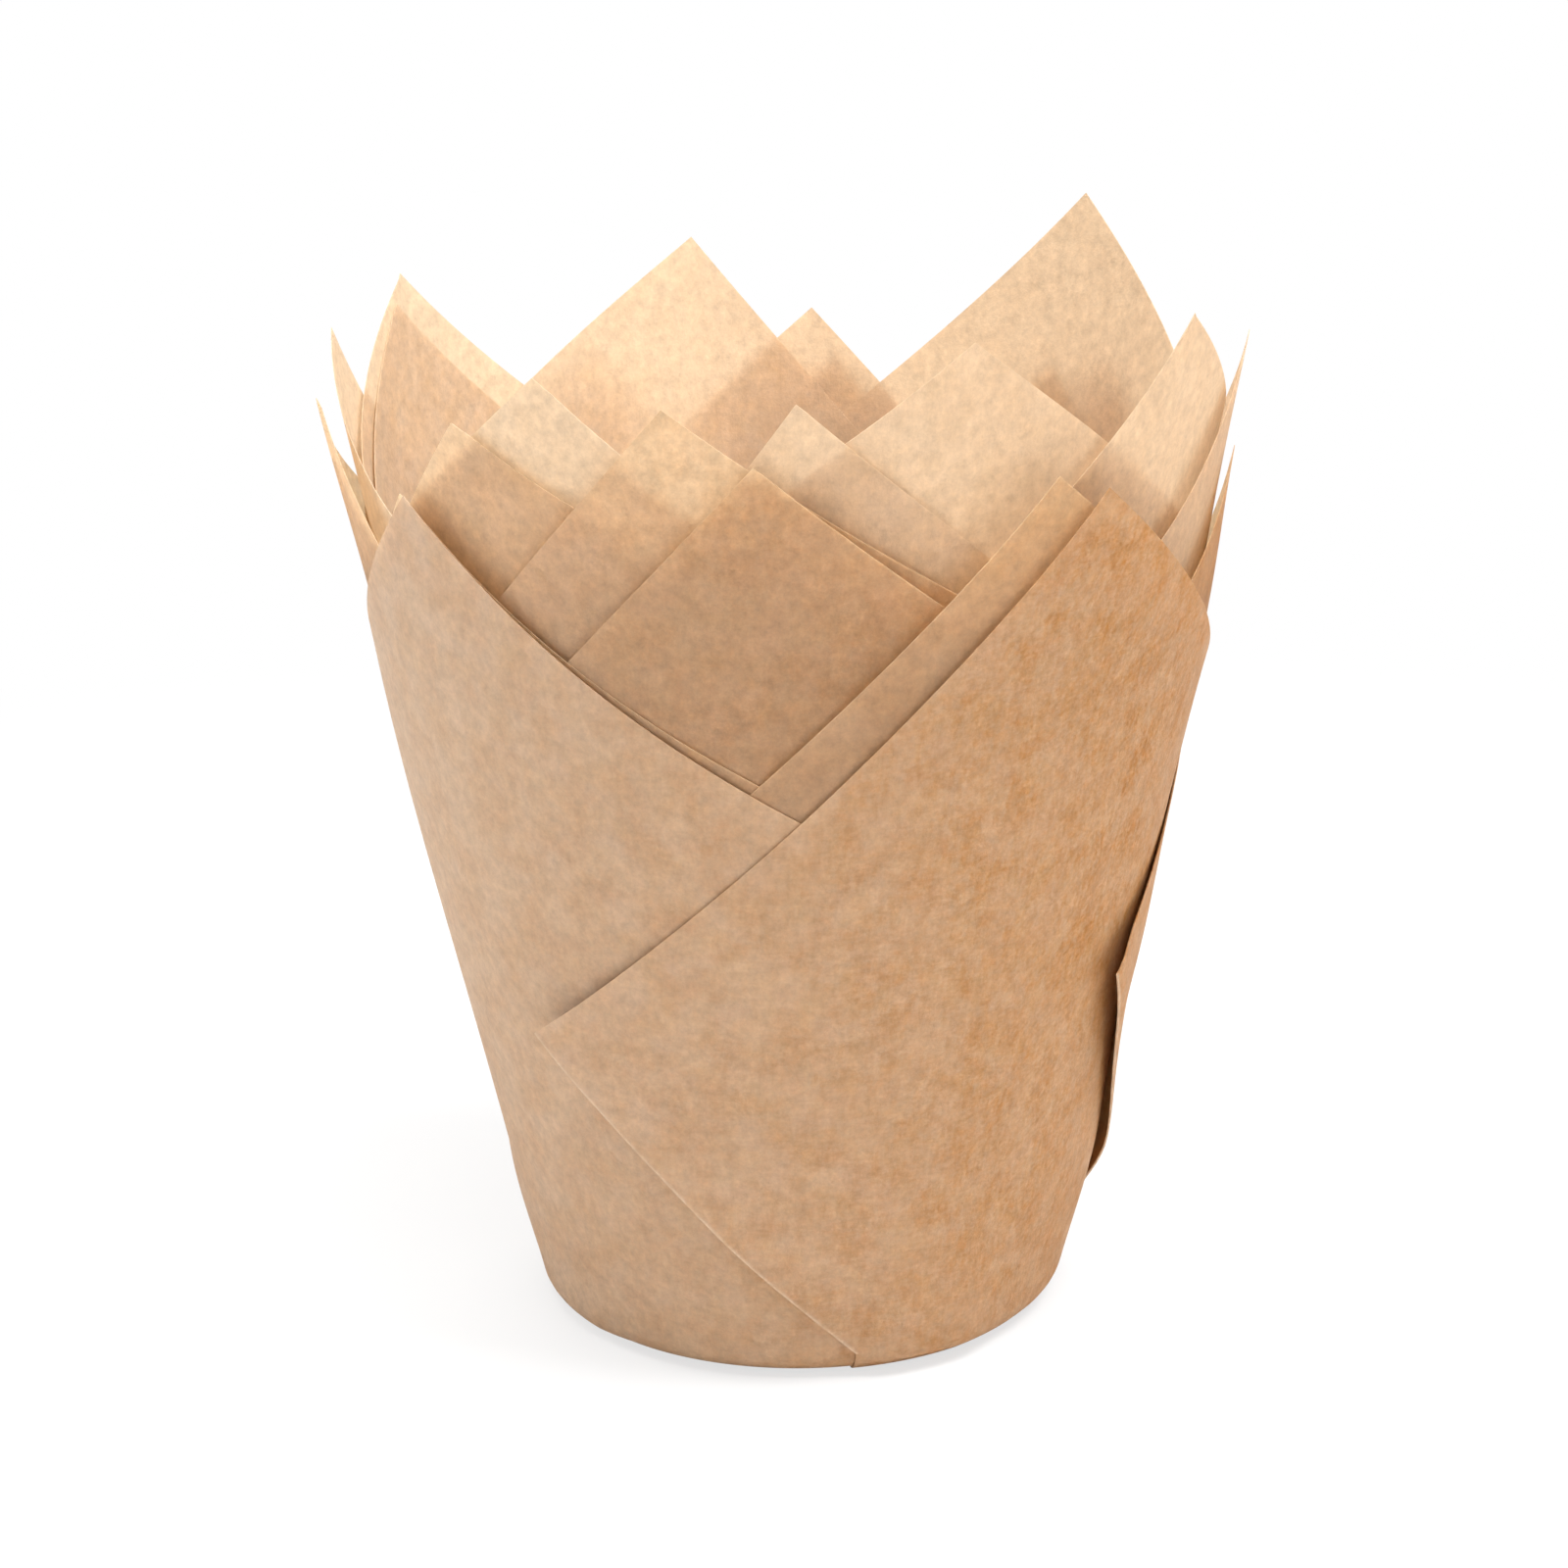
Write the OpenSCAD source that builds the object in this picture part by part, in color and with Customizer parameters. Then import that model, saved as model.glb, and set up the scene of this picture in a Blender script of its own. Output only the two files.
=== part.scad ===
// A nest of tulip-shaped cupcake liners. Each one is a single square of
// greaseproof paper pressed round a former: its four corners stand up as
// petals, and the paper between them is laid over in four one-way pleats.
// Millimetres, +Z up, the front towards -Y. The origin is the middle of the
// underside. A place on a wall is [angle round the cup, distance up the wall],
// with the angle counted from the front towards +X.

/* [Sheet] */
// Side of the square of paper that each liner is folded from
sheet_side = 150; // [110:1:190]
// Thickness of the greaseproof paper
paper_t = 0.05; // [0.04:0.01:0.1]

/* [Cup] */
// Diameter of the flat base
base_d = 50; // [38:1:64]
// Lean of the wall outwards from upright, in degrees
wall_lean = 11; // [8:0.5:16]
// Radius pressed into the edge between base and wall
edge_r = 3; // [1.5:0.5:5]

/* [Pleats] */
// Share of the paper's side from a petal's tip to the folded corner of its flap
flap_share = 0.455; // [0.4:0.005:0.5]
// Angle round the base from a petal's middle back to its outer crease
crease_foot = 26; // [18:1:34]
// Angle round the base from a petal's middle back to its hidden inner fold
tuck_foot = 3; // [1:1:10]
// Turn that the pressing gives each petal about its own tip
petal_twist = 7; // [0:0.5:12]
// Radius under the base at which the pleats begin
pleat_start_r = 14; // [8:1:18]
// Air between two layers of one pleat
layer_gap = 0.05; // [0.04:0.01:0.1]

/* [Nest] */
// Air between the pleats of one liner and the wall of the next one inside
nest_gap = 0.1; // [0.06:0.01:0.4]
// Angle from the front to the first petal of each liner, outermost first
sheet_turns = [38, 30.5, -4, -14.5, -41, 0.5, -36, 18.5];
// How far each square lay off the middle of the former, as [right, back]
sheet_shifts = [
    [0.8, -0.4],
    [0, 0],
    [-1.2, 0],
    [-0.5, -2.6],
    [0.8, 0.8],
    [0, 0.2],
    [2.6, 0.4],
    [3, 0.2]
];

/* [Hidden] */

// Every corner point of the mesh lies on one many-sided cone with this angle
// between its ribs, so that layers and liners stay parallel all round.
facet = 12;
// A rib nearer than this to a fold is left out.
near = 0.3;

base_r = base_d / 2;
half_diagonal = sheet_side / sqrt(2);
flap_reach = sheet_side * flap_share;
layer_pitch = paper_t + layer_gap;
pleat_t = 2 * layer_pitch + paper_t;
nest_rise = (pleat_t + nest_gap) / sin(wall_lean);
cone_l = base_r / sin(wall_lean);

// The pressed edge is an arc that runs into the base and the wall.
edge_turn = 90 - wall_lean;
edge_tangent = edge_r * tan(edge_turn / 2);
edge_saves = 2 * edge_tangent - edge_r * edge_turn * PI / 180;

// Sideways step between the inside and the outside of a fold, in degrees
fold_step = 1.4 * paper_t / base_r * 180 / PI;

paper_colours = [
    [0.80, 0.64, 0.50],
    [0.83, 0.68, 0.54]
];

// The wall unrolled: a cone opens flat without stretching, and so on the
// unrolled wall the straight edges and folds of the paper are straight lines.
function unrolled(place) =
    let (a = place[0] * sin(wall_lean), l = cone_l + place[1])
    l * [sin(a), cos(a)];

function angle_of(p) = atan2(p[0], p[1]) / sin(wall_lean);

function height_on(p, q, angle) =
    let (a = angle * sin(wall_lean), d = q - p)
    cross(p, d) / cross([sin(a), cos(a)], d) - cone_l;

// Direction on the unrolled wall from p, turned to the right from straight down
function heading(p, turn) =
    let (up = p / norm(p), right = [up[1], -up[0]])
    right * sin(turn) - up * cos(turn);

// A petal is [angle, tip, direction of its left edge, of its right edge], with
// the tip and both directions on the unrolled wall.
function petal(turn, shift) =
    let (
        along = half_diagonal + shift[0] * sin(turn) - shift[1] * cos(turn),
        across = shift[0] * cos(turn) + shift[1] * sin(turn),
        swing = atan2(across, along),
        tip = unrolled([turn + swing, norm([along, across]) - base_r + edge_saves]),
        middle = petal_twist + swing
    )
    [turn + swing, tip, heading(tip, middle - 45), heading(tip, middle + 45)];

// Ribs from a up to b, with a itself and without b
function ribs(a, b) = [
    a,
    for (g = [ceil((a + near) / facet) : 1 : floor((b - near) / facet)]) g * facet
];

// The pleat to the left of a petal: the paper doubles back at the crease, runs
// under the flap to the tuck, and turns again into the next petal's panel.
// It is [corner, tuck_end, crease foot, tuck foot, ribs along the crease,
// ribs between crease and tuck, ribs along the tuck, crease ends past the tuck].
function pleat(left, own) =
    let (
        corner = own[1] + flap_reach * own[2],
        rest = sheet_side - flap_reach,
        d = corner - left[1],
        v = (rest * rest - d * d) / (2 * (rest - d * left[3])),
        tuck_end = left[1] + v * left[3],
        foot = own[0] - crease_foot,
        tuck = own[0] - tuck_foot,
        a = angle_of(tuck_end),
        crossed = a < foot,
        first = ribs(angle_of(corner), min(a, foot)),
        second = ribs(min(a, foot), max(a, foot)),
        third = ribs(max(a, foot), tuck)
    )
    [corner, tuck_end, foot, tuck, first, second, third, crossed];

function crease_ribs(pl) = pl[7] ? concat(pl[4], pl[5]) : pl[4];
function tuck_ribs(pl) = concat(pl[7] ? pl[5] : [], pl[6], [pl[3]]);
function layer_ribs(pl) = concat(pl[4], pl[5], pl[6], [pl[3]]);

function crease_height(pl, a) =
    height_on(pl[0], unrolled([pl[2], edge_tangent]), a);
function tuck_height(pl, a) =
    height_on(pl[1], unrolled([pl[3], edge_tangent]), a);

// A panel is the paper from one petal's crease to the next petal's tuck:
// [petal, pleat on its left, pleat on its right, ribs, where it has dipped].
function panel(own, pl, next) =
    let (dipped = max(angle_of(next[0]), own[0] + 1))
    [
        own,
        pl,
        next,
        concat(
            crease_ribs(pl),
            ribs(pl[2], own[0]),
            ribs(own[0], dipped),
            ribs(dipped, angle_of(next[1])),
            tuck_ribs(next)
        ),
        dipped
    ];

// Depth of a panel's outer face: it dips in to pass under the next flap.
function dip(p, a) =
    2 * layer_pitch * max(0, min(1, (a - p[0][0]) / (p[4] - p[0][0])));

function panel_foot(p, a) = a < p[1][2] ? crease_height(p[1], a) : edge_tangent;
function panel_top(p, a) =
    a <= p[0][0] ? height_on(p[0][1], p[1][0], a)
    : a <= angle_of(p[2][1]) ? height_on(p[0][1], p[2][1], a)
    : tuck_height(p[2], a);

function layer_foot(pl, a) = a < pl[2] ? crease_height(pl, a) : edge_tangent;
function layer_top(pl, a) =
    a <= angle_of(pl[1]) ? height_on(pl[0], pl[1], a) : tuck_height(pl, a);

// Points in space. side is 0 for the face that was the underside of the flat
// sheet and 1 for the other face, and n is the depth in from the outside.
function round_cup(r, a, z) =
    let (k = r * cos(facet / 2) / cos(a - facet * floor(a / facet) - facet / 2))
    [k * sin(a), -k * cos(a), z];
function on_wall(a, s, n) = round_cup(
    base_r + s * sin(wall_lean) - n * cos(wall_lean),
    a,
    s * cos(wall_lean) + n * sin(wall_lean)
);
function on_edge(a, n, share) = round_cup(
    base_r - edge_tangent + (edge_r - n) * sin(share * edge_turn),
    a,
    edge_r - (edge_r - n) * cos(share * edge_turn)
);

// On a crease the inner face turns a step early, on a tuck the other one does.
function crease_step(pl, a, side) = a <= pl[2] ? side * fold_step : 0;
function tuck_step(pl, a, side) =
    a >= angle_of(pl[1]) ? (side - 1) * fold_step : 0;

function panel_depth(p, a, side) = dip(p, a) + side * paper_t;
function layer_depth(side) = layer_pitch + (1 - side) * paper_t;

function panel_points(p, side) =
    let (list = p[3], last = len(list) - 1)
    [
        for (j = [0 : last])
            let (
                a = list[j],
                n = panel_depth(p, a, side),
                low = a + (a <= p[1][2] ? side * fold_step : 0)
                    + (j == last ? (side - 1) * fold_step : 0),
                high = a + (j == 0 ? side * fold_step : 0) + tuck_step(p[2], a, side)
            )
            each concat(
                j == last ? [] : [on_wall(low, panel_foot(p, a), n)],
                j == 0 ? [] : [on_wall(high, panel_top(p, a), n)]
            )
    ];

function layer_points(pl, side) =
    let (list = layer_ribs(pl), last = len(list) - 1, n = layer_depth(side))
    [
        for (j = [0 : last])
            let (
                a = list[j],
                low = a + crease_step(pl, a, side)
                    + (j == last ? (side - 1) * fold_step : 0),
                high = a + tuck_step(pl, a, side)
            )
            each concat(
                j == last ? [] : [on_wall(low, layer_foot(pl, a), n)],
                j == 0 ? [] : [on_wall(high, layer_top(pl, a), n)]
            )
    ];

// Ribs that reach the base, as [angle, depth, angle where the pleats start],
// first across a panel and then back along the layer under the next flap
function start_of(pl) = (pl[2] + pl[3]) / 2;
function foot_ribs(p, side) =
    let (
        a0 = p[1][2],
        a1 = p[2][3],
        turn0 = start_of(p[1]),
        turn1 = start_of(p[2]),
        across = [for (a = p[3]) if (a >= a0) a],
        back = [for (a = layer_ribs(p[2])) if (a >= p[2][2]) a],
        last = len(back) - 1
    )
    concat(
        [
            for (a = across)
                let (end = a == a0 ? side : a == a1 ? side - 1 : 0)
                [
                    a + end * fold_step,
                    panel_depth(p, a, side),
                    turn0 + (turn1 - turn0) * (a - a0) / (a1 - a0)
                        + (a == a0 || a == a1 ? side * fold_step : 0)
                ]
        ],
        [
            for (j = [last : -1 : 0])
                let (end = j == 0 ? side : j == last ? side - 1 : 0)
                [back[j] + end * fold_step, layer_depth(side), turn1 + side * fold_step]
        ]
    );

function foot_points(p, side) = [
    for (f = foot_ribs(p, side))
        each [on_edge(f[0], f[1], 0.5), on_edge(f[0], f[1], 0)]
];

// The layer's ribs all start from one point, so only its first one counts.
function start_points(p, side) =
    let (feet = foot_ribs(p, side), count = len(p[3]) - first_foot(p))
    [for (j = [0 : count]) round_cup(pleat_start_r, feet[j][2], feet[j][1])];

function first_foot(p) = len(crease_ribs(p[1]));
function layer_foot_count(pl) =
    len([for (a = layer_ribs(pl)) if (a >= pl[2]) a]);

// Number of points in each part of one quarter of the sheet
function wall_count(p) = 2 * len(p[3]) - 2;
function layer_count(p) = 2 * len(layer_ribs(p[2])) - 2;
function foot_count(p) = len(p[3]) - first_foot(p) + layer_foot_count(p[2]);
function start_count(p) = len(p[3]) - first_foot(p) + 1;
function quarter_count(p) =
    wall_count(p) + layer_count(p) + 2 * foot_count(p) + start_count(p);
function sum(list, n) = n == 0 ? 0 : list[n - 1] + sum(list, n - 1);

// Index of the foot or the top of rib j, in a strip whose two ends are points
function low(j) = j == 0 ? 0 : 2 * j - 1;
function high(j, count) = j == 0 ? 0 : j == count - 1 ? 2 * j - 1 : 2 * j;

// Faces of one side of the sheet, clockwise from outside, with o the list of
// where each quarter's points begin
function side_faces(quarters, o, centre) = [
    for (q = [0 : 3])
        let (
            p = quarters[q],
            before = quarters[(q + 3) % 4],
            after = (q + 1) % 4,
            n = len(p[3]),
            m = len(layer_ribs(p[2])),
            w = o[q],
            l = w + wall_count(p),
            f = l + layer_count(p),
            s = f + 2 * foot_count(p),
            l_own = o[(q + 3) % 4] + wall_count(before),
            start = first_foot(p),
            feet = foot_count(p),
            panel_feet = n - start,
            tucks = len(tuck_ribs(p[2])),
            w_next = o[after],
            f_next = w_next + wall_count(quarters[after]) + layer_count(quarters[after]),
            s_next = f_next + 2 * foot_count(quarters[after])
        )
        each concat(
            [
                for (j = [0 : n - 2])
                    tidy([w + low(j), w + high(j, n), w + high(j + 1, n), w + low(j + 1)])
            ],
            [
                for (j = [0 : m - 2])
                    tidy([l + low(j), l + low(j + 1), l + high(j + 1, m), l + high(j, m)])
            ],
            [
                for (j = [0 : start - 1])
                    [w + low(j), w + low(j + 1), l_own + low(j + 1), l_own + low(j)]
            ],
            [
                for (j = [0 : tucks - 2])
                    let (u = n - tucks + j, v = m - tucks + j)
                    [w + high(u + 1, n), w + high(u, n), l + high(v, m), l + high(v + 1, m)]
            ],
            [
                for (j = [0 : feet - 1])
                    let (
                        ends = j == feet - 1,
                        a = j < panel_feet ? w + low(start + j) : l + low(m - 1 - (j - panel_feet)),
                        b = ends ? w_next + low(first_foot(quarters[after]))
                            : j + 1 < panel_feet ? w + low(start + j + 1)
                            : l + low(m - 1 - (j + 1 - panel_feet)),
                        c = f + 2 * j,
                        d = ends ? f_next : c + 2,
                        e = s + min(j, panel_feet),
                        g = ends ? s_next : s + min(j + 1, panel_feet)
                    )
                    each concat(
                        [[c, a, b, d], [c + 1, c, d, d + 1], tidy([e, c + 1, d + 1, g])],
                        e == g ? [] : [[centre, e, g]]
                    )
            ]
        )
];

function tidy(face) = [
    for (j = [0 : len(face) - 1]) if (face[j] != face[(j + 1) % len(face)]) face[j]
];

// Both sides are cut along the same diagonals, which keeps the paper even.
function triangles(face) = [
    for (j = [1 : len(face) - 2]) [face[0], face[j], face[j + 1]]
];

// The cut edge of the paper, once round: over each petal and back along the
// doubled layer to the corner of the next flap
function rim(quarters, o) = [
    for (q = [0 : 3])
        let (
            p = quarters[q],
            n = len(p[3]),
            m = len(layer_ribs(p[2])),
            tucks = len(tuck_ribs(p[2])),
            w = o[q],
            l = w + wall_count(p)
        )
        each concat(
            [for (j = [0 : n - tucks]) w + high(j, n)],
            [for (j = [m - tucks : -1 : 0]) l + high(j, m)]
        )
];

module folded_sheet(turn, shift) {
    petals = [for (k = [-1 : 4]) petal(turn + 90 * k, shift)];
    pleats = [for (k = [1 : 5]) pleat(petals[k - 1], petals[k])];
    quarters = [for (k = [0 : 3]) panel(petals[k + 1], pleats[k], pleats[k + 1])];
    counts = [for (p = quarters) quarter_count(p)];
    o = [for (q = [0 : 3]) sum(counts, q)];
    centre = sum(counts, 4);
    faces = [for (face = side_faces(quarters, o, centre)) each triangles(face)];
    edge = rim(quarters, o);
    polyhedron(
        points = [
            for (side = [0, 1])
                each concat(
                    [
                        for (p = quarters)
                            each concat(
                                panel_points(p, side),
                                layer_points(p[2], side),
                                foot_points(p, side),
                                start_points(p, side)
                            )
                    ],
                    [[0, 0, side * paper_t]]
                )
        ],
        faces = concat(
            faces,
            [for (face = faces) [for (j = [len(face) - 1 : -1 : 0]) face[j] + centre + 1]],
            [
                for (j = [0 : len(edge) - 1])
                    let (a = edge[j], b = edge[(j + 1) % len(edge)])
                    each triangles([b, a, a + centre + 1, b + centre + 1])
            ]
        )
    );
}

module nested(i) {
    color(paper_colours[i % 2])
        translate([0, 0, i * nest_rise])
            folded_sheet(sheet_turns[i], sheet_shifts[i]);
}

module sheet_1() {
    nested(0);
}

module sheet_2() {
    nested(1);
}

module sheet_3() {
    nested(2);
}

module sheet_4() {
    nested(3);
}

module sheet_5() {
    nested(4);
}

module sheet_6() {
    nested(5);
}

module sheet_7() {
    nested(6);
}

module sheet_8() {
    nested(7);
}

sheet_1();
sheet_2();
sheet_3();
sheet_4();
sheet_5();
sheet_6();
sheet_7();
sheet_8();
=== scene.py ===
import math
from collections import namedtuple

import bpy
import numpy as np
from bpy.props import (
    FloatProperty,
    FloatVectorProperty,
    IntProperty,
    PointerProperty,
)
from mathutils import Matrix, Vector


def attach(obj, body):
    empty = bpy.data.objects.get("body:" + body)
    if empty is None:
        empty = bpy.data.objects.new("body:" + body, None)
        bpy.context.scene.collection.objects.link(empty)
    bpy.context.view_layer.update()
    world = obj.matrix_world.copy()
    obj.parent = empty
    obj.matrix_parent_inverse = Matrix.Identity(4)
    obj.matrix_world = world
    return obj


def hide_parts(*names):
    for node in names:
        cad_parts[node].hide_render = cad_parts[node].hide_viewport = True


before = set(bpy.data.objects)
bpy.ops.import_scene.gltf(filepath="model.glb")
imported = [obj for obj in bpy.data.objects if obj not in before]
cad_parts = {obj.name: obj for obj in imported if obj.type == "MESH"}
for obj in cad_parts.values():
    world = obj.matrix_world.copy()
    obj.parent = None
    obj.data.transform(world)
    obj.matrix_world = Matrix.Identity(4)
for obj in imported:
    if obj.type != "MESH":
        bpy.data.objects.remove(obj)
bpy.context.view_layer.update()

bl_info = {
    "name": "Cupcake liner",
    "version": (1, 0, 0),
    "blender": (4, 5, 0),
    "location": "View3D > Sidebar > Liner",
    "description": "Folds a nest of tulip-shaped cupcake liners from paper squares",
    "category": "Object",
}

# Lengths in this file are millimetres where a name or comment doesn't say
# otherwise. Angles round the cup are degrees from the front towards +X.
MM = 0.001

# A petal is one corner of a square of paper: where its tip stands, how far up
# the wall it reaches, how far the cut edges on its left and right are turned
# from 45 degrees, the length of its left edge down to the folded corner of its
# flap, how far that corner stands off the wall, how far the tip leans out, and
# how far the foot of its panel stands off the edge of the base.
Petal = namedtuple(
    "Petal",
    "angle reach left right flap lift lean lip",
    defaults=(68.3, 0.0, 0.0, 0.0),
)

# The four petals of each sheet, outermost sheet first. They follow a picture and
# not one exact square, and the sheets 3, 5, 6, 7 and 8 cross themselves at some
# pleats. The sheets 2 and 3 cross in one spot.
SHEETS = (
    (
        Petal(36.28, 83.76, 7.4, 6.1, flap=70.0, lift=1.4, lean=1.5, lip=0.7),
        Petal(127.6, 83.0, 7.0, 7.0, flap=65.0, lift=1.2),
        Petal(217.8, 80.7, 7.0, 7.0, lift=0.8),
        Petal(308.48, 81.89, -4.4, 3.5, flap=67.0, lift=0.6, lean=-0.4),
    ),
    (
        Petal(29.95, 83.34, 6.1, 5.7, lean=1.2),
        Petal(121.5, 78.0, 7.0, 7.0),
        Petal(210.0, 81.7, 7.0, 7.0),
        Petal(307.0, 80.0, 3.0, 5.5),
    ),
    (
        Petal(-4.27, 83.44, 3.7, 3.6, lean=0.8),
        Petal(82.56, 77.59, -6.3, -4.2, flap=66.0, lean=-0.6),
        Petal(176.5, 77.0, 4.0, 4.0),
        Petal(281.58, 83.34, -6.7, -4.6, lean=0.5),
    ),
    (
        Petal(-14.2, 85.97, 3.0, 7.5),
        Petal(82.0, 70.0, -4.0, -4.0, flap=62.0),
        Petal(173.5, 76.5, 5.0, 5.0),
        Petal(262.0, 73.0, 5.0, 5.0, flap=64.0),
    ),
    (
        Petal(-43.13, 81.21, 0.8, 16.1),
        Petal(36.0, 72.0, 5.0, 5.0, flap=63.0),
        Petal(139.0, 75.0, 2.0, 2.0, flap=65.0),
        Petal(239.0, 69.0, 4.0, 4.0, flap=62.0),
    ),
    (
        Petal(0.38, 82.63, 9.2, 2.7),
        Petal(82.18, 82.36, -3.6, -2.0, lean=0.3),
        Petal(177.08, 77.67, 2.1, 3.9),
        Petal(266.16, 82.12, 10.0, 9.8),
    ),
    (
        Petal(-30.56, 82.03, -7.0, 4.6),
        Petal(53.61, 84.97, 2.2, 14.0, lean=0.8),
        Petal(136.51, 88.18, -3.7, -0.8),
        Petal(242.61, 82.72, -1.5, 7.8),
    ),
    (
        Petal(20.63, 83.11, -6.6, 9.2),
        Petal(100.0, 73.0, 5.0, 5.0, flap=64.0),
        Petal(194.07, 81.23, 7.0, 9.1),
        Petal(245.7, 78.34, 0.0, 0.8, flap=62.0),
    ),
)

# Air between one sheet and the next one inside it, where the petals part:
# outer sheet's number, angle and spread round the cup, height at which the gap
# opens and height at which it is fully open, width
Parting = namedtuple("Parting", "sheet angle spread low high width")
PARTINGS = (
    Parting(1, 315, 26, 45, 75, 0.35),
    Parting(4, 315, 26, 45, 75, 0.3),
    Parting(6, 65, 22, 50, 85, 0.7),
    Parting(3, 75, 18, 50, 78, 0.4),
)

# Where the whole nest is pressed out or in: angle and spread round the cup,
# height and spread up it, distance outwards
Dent = namedtuple("Dent", "angle spread height tall out")
DENTS = (
    Dent(95, 35, 12, 9, 0.85),
    Dent(95, 40, 66, 12, 0.45),
    Dent(270, 40, 68, 14, -0.35),
)

# How much paler each sheet is painted, from 0 to 1, outermost sheet first:
# painted light, the inner sheets made paler for the brighter light that falls
# on them and shines through them inside the cup
PAINTED_PALLOR = (0.0, 0.25, 0.1, 0.15, 0.2, 0.45, 0.5, 0.46)
# How much of the set translucency each sheet has, outermost sheet first
THINNESS = (0.6, 1.12, 1.08, 0.98, 0.95, 0.83, 0.88, 0.8)

# Angle between the mesh's columns, and how near to a fold one is left out
RIB_STEP = 2.0
RIB_NEAR = 0.5
# Rows of faces up the wall, round the edge of the base and under the pleats
WALL_ROWS = 40
EDGE_ROWS = 8
UNDER_ROWS = 4
# Points nearer to each other than this are one point
WELD = 0.002
# Folds sharper than this are shaded as edges, in degrees
SHARP_FOLD = 40

# Distance at which a point no longer counts as near a crease
CREASE_REACH = 5.0
# How far from a crease its rounding fades
CREASE_FADE = 3.5
# How far above its folded corner a flap's lift fades
FLAP_FADE = 10
# How far below its tip a petal starts to lean
LEAN_LENGTH = 28
# Height over which the foot is drawn in, and how far the mouth widens there
DRAWN_HEIGHT = 80
MOUTH_WIDER = 0.05
# How much further in the upper wall of each sheet lies than the one outside it
SHEET_INSET = 0.06


class Former:
    """The cone that a sheet is pressed on, with its sizes in millimetres"""

    def __init__(self, sizes):
        lean = sizes.wall_lean
        self.sin, self.cos = math.sin(lean), math.cos(lean)
        self.base_r = sizes.base_diameter / MM / 2
        self.cone = self.base_r / self.sin
        self.edge_r = sizes.edge_radius / MM
        self.edge_turn = math.pi / 2 - lean
        self.edge_tangent = self.edge_r * math.tan(self.edge_turn / 2)
        self.paper = sizes.paper_thickness / MM
        self.pitch = self.paper + sizes.layer_gap / MM
        self.rise = sizes.nest_rise / MM
        self.crease_rise = sizes.crease_rise / MM
        self.belly = sizes.belly / MM
        self.height = sizes.wall_height / MM
        self.foot_draw = sizes.foot_draw / MM
        self.mouth_shift = sizes.mouth_shift / MM
        self.start_r = sizes.pleat_start_radius / MM
        self.crease_foot = math.degrees(sizes.crease_foot)
        self.tuck_foot = math.degrees(sizes.tuck_foot)
        self.tuck_cover = sizes.tuck_cover / MM
        self.fold_step = math.degrees(1.4 * self.paper / self.base_r)

    def press(self, points):
        """Draws the foot of the whole nest in, leans its mouth to the left and
        adds the dents, by the same amount at one place for every sheet"""
        x, y, z = np.asarray(points, float).T
        r = np.maximum(np.hypot(x, y), 1e-9)
        up = smooth(z / DRAWN_HEIGHT)
        drawn = -self.foot_draw * (1 - up) + MOUTH_WIDER * up
        shifted = -self.mouth_shift * smooth((z - 15) / 45) * x / r
        out = drawn + shifted
        for d in DENTS:
            round_it = bump(np.degrees(np.arctan2(x, -y)), d.angle, d.spread)
            out = out + d.out * round_it * np.exp(-(((z - d.height) / d.tall) ** 2))
        k = 1 + out * np.minimum(r / self.base_r, 1.0) / r
        return np.stack([x * k, y * k, z], -1)

    def unrolled(self, angle, s):
        a = math.radians(angle) * self.sin
        return (self.cone + s) * np.array([math.sin(a), math.cos(a)])

    def angle_of(self, p):
        return math.degrees(math.atan2(p[0], p[1])) / self.sin

    def height_on(self, p, q, angle):
        """How far up the wall the line from p to q on the unrolled wall is"""
        a = math.radians(angle) * self.sin
        d = q - p
        across = math.sin(a) * d[1] - math.cos(a) * d[0]
        return (p[0] * d[1] - p[1] * d[0]) / across - self.cone


def heading(p, turn):
    """Direction on the unrolled wall, turned to the right from straight down"""
    up = p / np.hypot(*p)
    right = np.array([up[1], -up[0]])
    t = math.radians(turn)
    return right * math.sin(t) - up * math.cos(t)


def ribs(a, b):
    """Angles of the mesh's columns from a up to b, with a and without b"""
    first = math.ceil((a + RIB_NEAR) / RIB_STEP)
    last = math.floor((b - RIB_NEAR) / RIB_STEP)
    return [a] + [RIB_STEP * g for g in range(first, last + 1)]


def smooth(x):
    x = np.clip(x, 0.0, 1.0)
    return x * x * (3 - 2 * x)


def bump(angle, centre, spread):
    away = (np.asarray(angle) - centre + 180) % 360 - 180
    return np.exp(-((away / spread) ** 2))


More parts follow.
